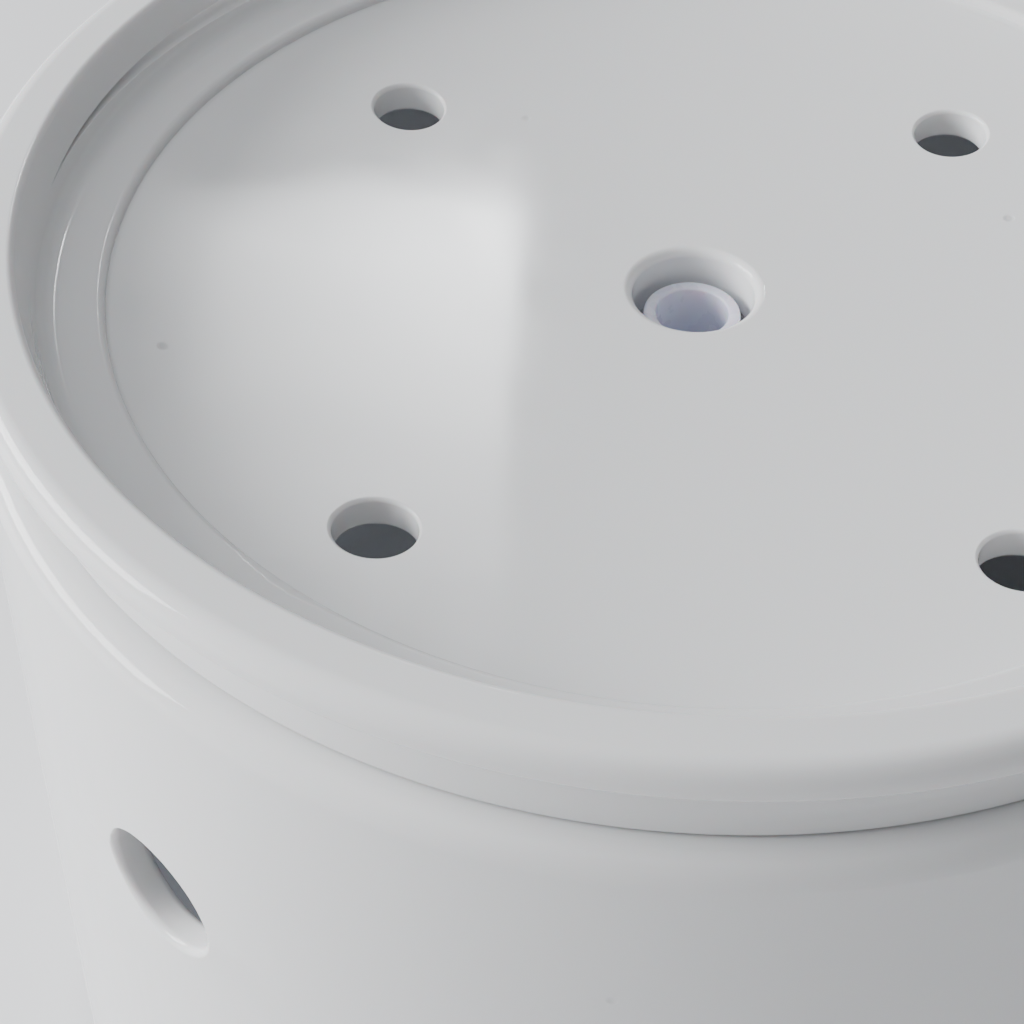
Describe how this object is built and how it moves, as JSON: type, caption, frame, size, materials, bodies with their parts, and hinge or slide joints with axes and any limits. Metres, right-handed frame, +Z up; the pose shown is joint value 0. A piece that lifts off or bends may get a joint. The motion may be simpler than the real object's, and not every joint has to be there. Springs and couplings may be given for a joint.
{
  "type": "ceramic drinking fountain",
  "caption": "Round white porcelain water fountain: a stepped bowl with return holes sits in a hollow vessel that hides a small submersible pump and its riser hose.",
  "frame": {"origin": "middle of the footprint on the ground, under the bowl's axis", "axes": "+Z up; +Y from the pump towards its intake cover; +X to the right seen from -Y"},
  "size_m": [0.1848, 0.1848, 0.15],
  "materials": {
    "white_glaze": "glossy transparent glaze over white porcelain",
    "soft_pvc": "soft translucent PVC, faint lavender",
    "black_plastic": "fine-textured black ABS",
    "white_plastic": "natural white acetal",
    "ferrite": "dark sintered ferrite, smooth",
    "ceramic_pin": "ground alumina",
    "black_rubber": "soft black rubber",
    "clear_silicone": "milky silicone",
    "lamination_steel": "stacked steel laminations",
    "enamelled_copper": "enamelled copper wire",
    "potting_resin": "black potting resin",
    "filter_sponge": "open-cell foam"
  },
  "bodies": {
    "base": {"cable_gland": "black_rubber", "foot_pad_1": "clear_silicone", "foot_pad_2": "clear_silicone", "foot_pad_3": "clear_silicone", "foot_pad_4": "clear_silicone", "front_bush": "black_rubber", "pump_housing": "black_plastic", "rear_bush": "black_rubber", "rear_seal": "potting_resin", "reservoir": "white_glaze", "riser_hose": "soft_pvc", "rotor_shaft": "ceramic_pin", "stator_coil": "enamelled_copper", "stator_core": "lamination_steel", "suction_cup_1": "black_rubber", "suction_cup_2": "black_rubber", "suction_cup_3": "black_rubber", "suction_cup_4": "black_rubber", "volute_cover": "black_plastic", "volute_seal": "black_rubber"},
    "bowl": {"drinking_bowl": "white_glaze"},
    "rotor": {"rotor_magnet": "ferrite", "impeller": "white_plastic"},
    "intake": {"intake_cover": "black_plastic", "filter_sponge": "filter_sponge"},
    "dial": {"flow_dial": "white_plastic"}
  },
  "joints": [
    {"name": "bowl_lift", "type": "slide", "parent": "base", "child": "bowl", "axis": [0, 0, 1], "range_m": [0, 0.06]},
    {"name": "rotor_spin", "type": "hinge", "parent": "base", "child": "rotor", "pos_m": [0, 0, 0.0431], "axis": [0, 1, 0], "continuous": true},
    {"name": "cover_pull", "type": "slide", "parent": "base", "child": "intake", "axis": [0, 1, 0], "range_m": [0, 0.03]},
    {"name": "flow_dial_turn", "type": "hinge", "parent": "intake", "child": "dial", "pos_m": [0, 0, 0.0431], "axis": [0, 1, 0], "range_deg": [0, 90]}
  ]
}
